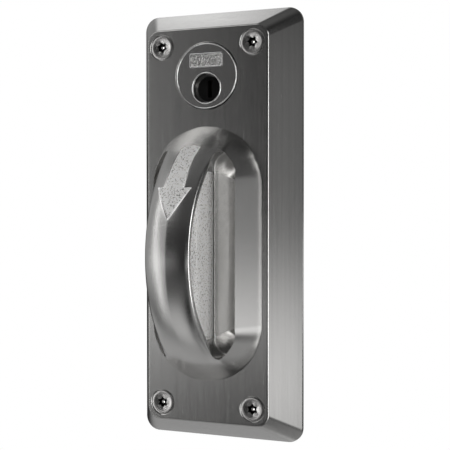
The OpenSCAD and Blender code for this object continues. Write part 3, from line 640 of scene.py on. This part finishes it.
def outer_loop():
    """Plan of the skin's outer bound, point for point with the mouth: the base outline, then the middle line.

    Half of each bend goes round the rest of the base's end, and half of it goes down the middle line.
    """
    lip_s = np.linspace(-BASE_END_S, BASE_END_S, SIDE, endpoint=False)
    lip = np.stack([np.full(SIDE, BASE_HALF_W), lip_s], -1)
    turned_at, quarter, down = math.radians(MOUTH_TURN), math.pi / 2, 6.0
    t = np.linspace(0, 1, BEND, endpoint=False)
    angle = np.concatenate([np.linspace(0, turned_at, END, endpoint=False),
                            mix(turned_at, quarter, np.minimum(t * 2, 1))])
    back = np.concatenate([np.zeros(END), down * np.maximum(t * 2 - 1, 0)])
    top = np.stack([BASE_HALF_W * np.cos(angle) * (angle < quarter - 1e-9),
                    BASE_END_S + BASE_HALF_W * np.sin(angle) - back], -1)
    edge_s = np.linspace(BASE_HALF_L - down, down - BASE_HALF_L, SIDE, endpoint=False)
    edge = np.stack([np.zeros(SIDE), edge_s], -1)
    bottom = np.concatenate([[[0, BASE_HALF_L - down]], top[:0:-1]]) * (1, -1)
    return np.concatenate([lip, top, edge, bottom])


def place(x, s, h):
    """Handle's x, s and h as points in the model's frame."""
    return np.stack([x, -DEPTH - h, HANDLE_Z + s], -1)


def outer_skin(rim, bound, on_base):
    """The skin from the mouth's rim straight out in plan to the outer bound: x, s, h and mark.

    Its points stand closer together at the rim. It is pressed in by the arrow and ends on the base.
    """
    v = np.linspace(0, 1, 31)
    v = mix(v, 1 - np.cos(v * math.pi / 2), 0.5)[None, :]
    x = mix(rim[:, 0:1], bound[:, 0:1], v)
    s = mix(rim[:, 1:2], bound[:, 1:2], v)
    inside = arrow_inside(x, s)
    h = skin_height(x, s) - ARROW_DEPTH * ease(-ARROW_SLOPE, ARROW_SLOPE, inside)
    h = np.maximum(h, BASE_GAP)
    h[on_base, -1] = BASE_GAP
    return x, s, h, inside


def hang(rim, rim_h, wall, wall_h, drop):
    """The part of a pocket from rim to wall: a cubic curve that leaves the rim downwards and hangs.

    It comes down on to the wall's top, with handles about half as long as the drop.
    """
    t = np.linspace(0, 1, 13)[None, :]
    b0, b1, b2, b3 = (1 - t) ** 3, 3 * t * (1 - t) ** 2, 3 * t * t * (1 - t), t ** 3
    (rim_x, rim_s), (wall_x, wall_s) = rim, wall
    x = (b0 + b1) * rim_x + b2 * mix(wall_x, rim_x, 0.25) + b3 * wall_x
    s = (b0 + b1) * rim_s + (b2 + b3) * wall_s
    h = b0 * rim_h + b1 * (rim_h - drop * 0.55) + b2 * (wall_h + drop * 0.45) + b3 * wall_h
    return x, s, h


def down_to_floor(wall, wall_h, steep):
    """The part of a pocket from its wall to a line along the middle of its floor.

    Where steep is 0 it is a quarter of an ellipse. Where steep is 1 it goes straight down the web to its
    foot, round a fillet's quarter circle, and flat on to the line, whose points keep pace with the loop's.
    """
    step = np.concatenate([np.arange(SIDE), np.full(END + BEND, SIDE), SIDE - np.arange(SIDE),
                           np.zeros(BEND + END)])
    low, high = WEB_S[0] + FLOOR_IN, WEB_S[1] - FLOOR_IN
    line_s = (low + step * ((high - low) / SIDE))[:, None]
    wall_x, wall_s = wall
    u = np.linspace(0, 1, 20)[None, 1:]
    round_q = 1 - np.cos(u * math.pi / 2)
    round_h = wall_h - (wall_h - FLOOR_H) * np.sin(u * math.pi / 2)
    fillet, foot_at, fillet_to = FOOT_H - FLOOR_H, 0.45, 0.7
    bent = np.clip((u - foot_at) / (fillet_to - foot_at), 0, 1) * math.pi / 2
    reach = np.hypot(FLOOR_X - wall_x, line_s - wall_s)
    steep_q = mix(fillet * (1 - np.cos(bent)) / reach, 1.0, np.clip((u - fillet_to) / (1 - fillet_to), 0, 1))
    steep_h = np.where(u <= foot_at, mix(wall_h, FOOT_H, np.clip(u / foot_at, 0, 1)),
                       FOOT_H - fillet * np.sin(bent))
    q = mix(round_q, steep_q, steep)
    return mix(wall_x, FLOOR_X, q), mix(wall_s, line_s, q), mix(round_h, steep_h, steep)


def pocket(rim, rim_h):
    """A pocket from the mouth's rim down a hanging curve to its wall and on to its floor: x, s and h.

    The wall begins just under the rim along the lip, and further down along the web.
    """
    wall = pocket_loop(LIP_X - WALL_IN, MOUTH_R - WALL_IN, web_half, WEB_S, WALL_REACH)
    rim, wall = (rim[:, 0:1], rim[:, 1:2]), (wall[:, 0:1], wall[:, 1:2])
    number = np.arange(len(rim_h))[:, None]
    end_to, web_from, web_to = SIDE + END, SIDE + END + BEND, 2 * SIDE + END + BEND
    web = ease(end_to, web_from, number) * (1 - ease(web_to, web_to + BEND, number))
    steep = ease(SIDE, end_to, number) * (1 - ease(web_to + BEND, web_to + BEND + END, number))
    drop = mix(LIP_DROP, np.maximum(rim_h - grip_edge(rim[1]) + WEB_DROP, LEAST_DROP), web)
    wall_h = np.maximum(rim_h - drop, FOOT_H + LEAST_WALL)
    parts = zip(hang(rim, rim_h, wall, wall_h, drop), down_to_floor(wall, wall_h, steep))
    return [np.concatenate(part, 1) for part in parts]


def crescent():
    """The crescent handle: outer skin, two pockets and a flat back, each grid made for +x and mirrored."""
    rim = pocket_loop(LIP_X, MOUTH_R, grip_half, MOUTH_EDGE_S, MOUTH_REACH)
    bound = outer_loop()
    past_end = np.maximum(np.abs(bound[:, 1]) - BASE_END_S, 0)
    on_base = np.hypot(bound[:, 0], past_end) > BASE_HALF_W - 0.01
    x, s, h, inside = outer_skin(rim, bound, on_base)
    skin, skin_mark = place(x, s, h), np.clip(inside, -2, 2)
    x, s, h = pocket(rim, h[:, 0:1])
    hollow, hollow_mark = place(x, s, h), np.clip(panel_inside(x, s, h), -2, 2)

    edge = bound[on_base]
    edge = edge[np.argsort(edge[:, 1])]
    across = np.linspace(-1, 1, 5)[None, :]
    back = place(edge[:, 0:1] * across, edge[:, 1:2] + 0 * across, np.full((len(edge), 5), BASE_GAP))
    mirror = np.array([-1, 1, 1])
    grids = [(grid, True) for grid in (skin, skin * mirror, hollow, hollow * mirror)] + [(back, False)]
    marks = [skin_mark, skin_mark, hollow_mark, hollow_mark, np.full(back.shape[:2], -2.0)]
    piece("crescent", grids, handle_metal(), "handle", ["crescent_handle"], sharp=50,
          marks=marks)


crescent()


# Cover, screws and cylinder front

def cover_levels():
    """The cover's skin from the hollow back out: front wall, inner bevel, rim, outer bevel and flat face.

    The outer section is the foot, rounded, then two corners rounded over, then a strip of the face.
    """
    foot, knee = (0.0, 0.0), (0.0, -RIM_H)
    edge, middle = (-BEVEL_RUN, -DEPTH), (-BASE_W / 2, -DEPTH)
    section = np.concatenate([
        [(-0.35, 0.0), (-0.1, -0.1), (0.0, -0.35)],
        round_over(foot, knee, edge, RIM_R, 3),
        round_over(knee, edge, middle, EDGE_R, 6),
        [(-BEVEL_RUN - 1.2, -DEPTH)]])
    lean = BEVEL_RUN * (-INNER_Y - RIM_H) / (DEPTH - RIM_H)
    w, h = BASE_W - 2 * BEVEL_WALL, BASE_H - 2 * BEVEL_WALL
    levels = [(w - 2 * lean, h - 2 * lean, FACE_R - BEVEL_WALL / 2, INNER_Y),
              (w, h, BASE_R - BEVEL_WALL / 2, -RIM_H), (w, h, BASE_R - BEVEL_WALL / 2, 0.0)]
    for run, y in section:
        on_bevel, on_face = max(run, -BEVEL_RUN), min(run + BEVEL_RUN, 0)
        radius = BASE_R + on_bevel * (BASE_R - FACE_R) / BEVEL_RUN + on_face
        levels.append((BASE_W + 2 * run, BASE_H + 2 * run, radius, y))
    return levels


def cover():
    """The bevelled cover with its countersinks, its hole for the cylinder and its slots for the posts.

    The face and the back of the front wall are filled round these holes.
    """
    grids = [outline_skin(cover_levels())]
    sink = [(HEAD_R + 0.42, -DEPTH), (HEAD_R + 0.12, -DEPTH + 0.28), (HEAD_R - 0.05, -DEPTH + 0.3),
            (THREAD_R + 0.25, INNER_Y)]
    grids += [turned(x, z, sink, 48) for x in (-SCREW_X, SCREW_X) for z in (-SCREW_Z, SCREW_Z)]
    bore = [(CYL_R + 0.65, -DEPTH), (CYL_R + 0.33, -DEPTH + 0.3), (CYL_R + 0.3, INNER_Y)]
    grids.append(turned(0, CYL_Z, bore))
    slot_w, slot_l = POST_W + 2 * SLOT_PLAY, POST_L + TRAVEL + 2 * SLOT_PLAY
    for s in (-POST_S, POST_S):
        slot = [(slot_w, slot_l, 0.5, y) for y in (-DEPTH, INNER_Y)]
        grids.append(outline_skin(slot, z=HANDLE_Z + s - TRAVEL / 2))
    piece("cover", grids, cover_steel, "housing", ["escutcheon"], sharp=40,
          caps=(-DEPTH, INNER_Y))


def star(a):
    """Radius of the six-lobe socket at an angle: a circle pulled out into six round lobes."""
    return SOCKET_R + LOBE * np.cos(6 * a) + LOBE_SHARP * np.cos(12 * a)


def screw(x, z, turn):
    """A flat security screw, its section carried round the axis.

    Each row goes from the pin's middle to the thread's end at one angle. A point of the section is (reach,
    1 where the star is added to the reach, y).
    """
    face = -DEPTH
    pin = [(0.0, 0, face + 0.25), (0.55, 0, face + 0.25), (PIN_R, 0, face + 0.55),
           (PIN_R, 0, face + SOCKET_D)]
    socket = [(0.0, 1, face + SOCKET_D), (0.0, 1, face + 0.45), (0.22, 1, face + 0.12),
              (0.34, 1, face + 0.08)]
    head = [(4.3, 0, face + 0.08), (4.55, 0, face + 0.02), (HEAD_R - 0.6, 0, face + 0.02),
            (HEAD_R - 0.25, 0, face + 0.1), (HEAD_R - 0.1, 0, face + 0.3)]
    neck = [(THREAD_R, 0, face + 3.2), (NECK_R, 0, face + 3.5), (NECK_R, 0, 0.0)]
    thread = [(THREAD_R, 0, 0.02), (THREAD_R, 0, SCREW_END - 0.5), (THREAD_R - 0.5, 0, SCREW_END),
              (0.0, 0, SCREW_END)]
    reach, with_star, y = np.array(pin + socket + head + neck + thread).T
    a = around(72)
    r = reach + with_star * star(a + turn)
    return np.stack([x + r * np.cos(a), y + 0 * a, z + r * np.sin(a)], -1), True


def screws():
    """The four corner screws in one piece; the UV map runs round each head, for the turned finish and for the
    painted shade in the sockets.
    """
    turns = [(-SCREW_X, SCREW_Z, 0.3), (SCREW_X, SCREW_Z, 0.1), (-SCREW_X, -SCREW_Z, 0.5),
             (SCREW_X, -SCREW_Z, 0.5)]
    grids = [screw(x, z, turn) for x, z, turn in turns]
    rows, cols = grids[0][0].shape[:2]
    u, v = np.meshgrid(np.arange(rows) / rows, np.arange(cols) / cols, indexing="ij")
    uv = np.stack([u, v], -1).reshape(-1, 2)
    piece("security_screws", grids, head_steel, "housing", ["corner_screws"], sharp=30,
          uvs=[uv] * 4)


def half_round(r, w, h, y):
    """Section of a raised half-round ring at radius r, w wide and h proud of the height y, closed below."""
    a = np.linspace(0, math.pi, 9)
    top = np.stack([r + w / 2 * np.cos(a), y - h * np.sin(a)], -1)
    foot = [(r - w / 2, y + 0.3), (r + w / 2, y + 0.3)]
    return np.concatenate([top, foot, top[:1]])


def rings():
    """The two raised rings on the cylinder's head, round its edge and round the plug's recess, in near-white
    steel that paints their highlight.
    """
    grids = [turned(0, CYL_Z, half_round(*OUTER_RING, RING_H, HEAD_FRONT), 128),
             turned(0, PLUG_Z, half_round(*INNER_RING, RING_H, HEAD_FRONT))]
    piece("cylinder_rings", grids, ring_highlight_steel, "housing", sharp=60)


def tablet_frame(foot, top, field):
    """The tablet's raised frame: up its outside, over its rounded top, and down to the field."""
    steps = [(0.0, 1.0, foot), (0.0, 1.0, top + 0.18), (0.1, 0.95, top + 0.05), (0.35, 0.85, top),
             (1.0, 0.6, top), (1.3, 0.5, top + 0.06), (1.5, 0.45, field + 0.1)]
    levels = [(TABLET_W - less, TABLET_H - less, r, y) for less, r, y in steps]
    piece("tablet_frame", [outline_skin(levels, z=TABLET_Z)], tablet_metal, "housing",
          ["cylinder_tablet"], caps=(foot, field + 0.1))


def tablet_grain(foot, field):
    """The tablet's field of plain grain: random heights, each the mean of a point and its neighbours.

    The grain fades towards the frame. A flat grid below and four strips close the field.
    """
    nx, nz = GRAIN_POINTS
    grain = np.random.default_rng(7).normal(size=(nx + 2, nz + 2))
    beside = grain[:-2, 1:-1] + grain[2:, 1:-1] + grain[1:-1, :-2] + grain[1:-1, 2:]
    grain = (beside + 2 * grain[1:-1, 1:-1]) / 6
    half_x, half_z = (TABLET_W - 1.3) / 2, (TABLET_H - 1.3) / 2
    x = np.linspace(-half_x, half_x, nx)[:, None]
    z = np.linspace(-half_z, half_z, nz)[None, :]
    inside = np.minimum(half_x - np.abs(x), half_z - np.abs(z))
    y = field - GRAIN_D * grain * np.clip((inside - 0.05) / 0.3, 0, 1)
    top = np.stack([x + 0 * z, y, TABLET_Z + z + 0 * x], -1)
    under = np.stack([x + 0 * z, np.full_like(y, foot), TABLET_Z + z + 0 * x], -1)
    skirt = [np.stack([top[k], under[k]], 1) for k in (np.s_[:, 0], np.s_[:, -1], 0, -1)]
    piece("tablet_grain", [(grid, False) for grid in (top, under, *skirt)], grain_metal, "housing",
          ["cylinder_tablet"], sharp=80)


def tablet():
    """The small tablet on the cylinder's head."""
    foot, field = HEAD_FRONT + 0.05, HEAD_FRONT - FIELD_OUT
    tablet_frame(foot, HEAD_FRONT - FRAME_OUT, field)
    tablet_grain(foot, field)


cover()
screws()
rings()
tablet()


# Return springs

def springs():
    """Two coil springs: a round wire carried along a helix, with a pole at each end.

    They belong to no body, and their placement is baked into the mesh.
    """
    low, high = SPRING_Z
    t = np.linspace(0, 1, SPRING_TURNS * 24 + 1)
    t = np.concatenate([[0], t, [1]])[None, :]
    thick = np.full(t.shape, WIRE_R)
    thick[0, [0, -1]] = 0
    w = around(12)
    turn = 2 * math.pi * SPRING_TURNS * t
    away = SPRING_R + thick * np.cos(w)
    z = low + WIRE_R + (high - low - 2 * WIRE_R) * t + thick * np.sin(w)
    grids = [(np.stack([x + away * np.cos(turn), SPRING_Y + away * np.sin(turn), z], -1), True)
             for x in (-SPRING_X, SPRING_X)]
    coils = piece("coil_springs", grids, wire, None, ["return_springs"], sharp=60)
    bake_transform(coils)


springs()


# Camera, light and floor

def look(name, eye, right, up, back, lens):
    """A camera at eye in mm, with its right, up and backward directions, and its lens on a 36 mm sensor."""
    camera = bpy.data.cameras.new(name)
    camera.lens, camera.sensor_width = lens, 36.0
    camera.clip_start = 0.01
    obj = bpy.data.objects.new(name, camera)
    rows = [[right[k], up[k], back[k], eye[k] * MM] for k in range(3)]
    obj.matrix_world = Matrix(rows + [[0, 0, 0, 1]])
    bpy.context.scene.collection.objects.link(obj)
    bpy.context.scene.camera = obj


# Eye, directions and lens are fitted to the photograph's corners, screws and circles
look("camera", (198.5, -477.5, 10.7), (0.92392, 0.38258, -0.00065), (-0.00730, 0.01933, 0.99979),
     (0.38251, -0.92372, 0.02065), 79.45)

# Each card of light: what runs across it, its middle, half width and edge softness; what runs up it, its
# middle, half height and softness; and its strength. Across runs a, the azimuth from the front, right
# positive, or u, the direction's x, or w, the same but leaning with the height. Up runs e, the elevation, or
# v, the turn about the x axis, up positive and front 0. Angles are in degrees.
LIGHT = [
    ("a", -32, 18, 14, "e", -6, 1.8, 4.5, 1.05),        # low band of the room, left of the camera
    ("a", 45, 38, 12, "e", -7.5, 3, 4, 1.2),            # the band goes on to the right
    ("a", 100, 14, 10, "e", -12, 6, 10, 1.3),           # and on past the side, lower
    ("a", 150, 24, 14, "e", -5, 3.5, 4, 1.0),           # and behind the door
    ("a", 104, 14, 10, "e", 3, 10, 8, 0.19),            # dim wall on the right
    ("a", 60, 11, 8, "e", 0, 34, 10, 4.0),              # upright soft box on the right
    ("a", -42, 16, 14, "e", 48, 10, 14, 2.0),           # soft box in front, above and left
    ("a", 5, 40, 20, "e", 42, 16, 16, 0.05),            # far wall, above
    ("a", 5, 40, 20, "e", -30, 10, 10, 0.07),           # far wall, below
    ("u", -0.72, 0.28, 0.05, "v", 20, 75, 50, 0.38),    # left wall
    ("w", -0.625, 0.013, 0.02, "v", 0, 50, 30, 2.4),    # narrow tube that leans on the left wall
    ("a", -150, 60, 40, "e", 30, 20, 20, 0.3),          # back wall
    ("u", -0.4, 0.1, 0.2, "v", 130, 14, 16, 1.0),       # soft box behind, above and left
    ("a", 0, 200, 10, "e", 76, 14, 24, 0.12),           # ceiling
    ("a", -38, 25, 24, "e", -58, 16, 20, 0.6),          # pale floor, in front on the left
    ("a", 52, 26, 26, "e", -44, 14, 20, 0.45),          # pale floor, in front on the right
    ("a", -140, 60, 40, "e", -48, 22, 20, 0.45),        # pale floor, behind
    ("a", 140, 50, 40, "e", -48, 22, 20, 0.35),         # pale floor, behind on the right
    ("a", 0, 200, 10, "e", -80, 10, 20, 0.35),          # pale floor, right below
]
# Light of the room between the cards, and the lean of w per degree of v
DIM, LEAN = 0.03, 0.0009


def studio():
    """World light: a dim room with the soft cards of the list above; the camera itself sees plain white."""
    world = bpy.data.worlds.new("studio")
    bpy.context.scene.world = world
    world.use_nodes = True
    world.node_tree.nodes.clear()
    add, calc, between = node_tree(world.node_tree)
    x, y, z = add("ShaderNodeSeparateXYZ", in_0=add("ShaderNodeTexCoord").outputs["Generated"]).outputs
    front = calc("MULTIPLY", y, -1.0)
    degrees = 180 / math.pi
    azimuth = calc("MULTIPLY", calc("ARCTAN2", x, front), degrees)
    elevation = calc("MULTIPLY", calc("ARCSINE", z), degrees)
    turned_up = calc("MULTIPLY", calc("ARCTAN2", z, front), degrees)
    measures = {"a": azimuth, "e": elevation, "u": x, "v": turned_up,
                "w": calc("MULTIPLY_ADD", turned_up, LEAN, x)}
    total = DIM
    for card in LIGHT:
        patch = card[8]
        for key, middle, half, soft in (card[:4], card[4:8]):
            off = calc("SUBTRACT", measures[key], middle)
            if key in "av":
                off = calc("WRAP", off, 180.0, -180.0)
            edge = add("ShaderNodeMapRange", interpolation_type="SMOOTHSTEP", in_0=calc("ABSOLUTE", off),
                       in_1=half + soft / 2, in_2=half - soft / 2, in_3=0.0, in_4=1.0)
            patch = calc("MULTIPLY", patch, edge.outputs[0])
        total = calc("ADD", total, patch)
    seen = add("ShaderNodeLightPath").outputs["Is Camera Ray"]
    back = add("ShaderNodeBackground", in_0=(1, 1, 1, 1), in_1=between(seen, total, 1.0))
    add("ShaderNodeOutputWorld", in_0=back.outputs[0])


def floor_lamp(power):
    """A square lamp just above the floor, as wide as it, that shines straight down and makes it pale."""
    lamp = bpy.data.lights.new("floor_lamp", "AREA")
    lamp.shape, lamp.size, lamp.energy = "SQUARE", 2 * FLOOR_R * MM, power
    obj = bpy.data.objects.new("floor_lamp", lamp)
    obj.location = (0, 0, (FLOOR_Z + LAMP_GAP) * MM)
    bpy.context.scene.collection.objects.link(obj)


def floor():
    """A plain pale round floor: rings of points about the Z axis, from its middle outwards."""
    rows, cols = 96, 30
    r = np.linspace(0, FLOOR_R, cols)[None, :]
    a = around(rows)
    points = np.stack([r * np.cos(a), r * np.sin(a), np.full((rows, cols), FLOOR_Z)], -1)
    mesh = bpy.data.meshes.new("floor")
    mesh.from_pydata((points.reshape(-1, 3) * MM).tolist(), [], quads(rows, cols, True).tolist())
    mesh.materials.append(plastic("pale_floor", (0.8, 0.8, 0.8), 0.8, grain=0.05, bump=0.02))
    obj = bpy.data.objects.new("floor", mesh)
    bpy.context.scene.collection.objects.link(obj)
    obj.visible_glossy = obj.visible_diffuse = False


studio()
floor_lamp(140.0)
floor()
bpy.context.scene.view_settings.view_transform = "Standard"
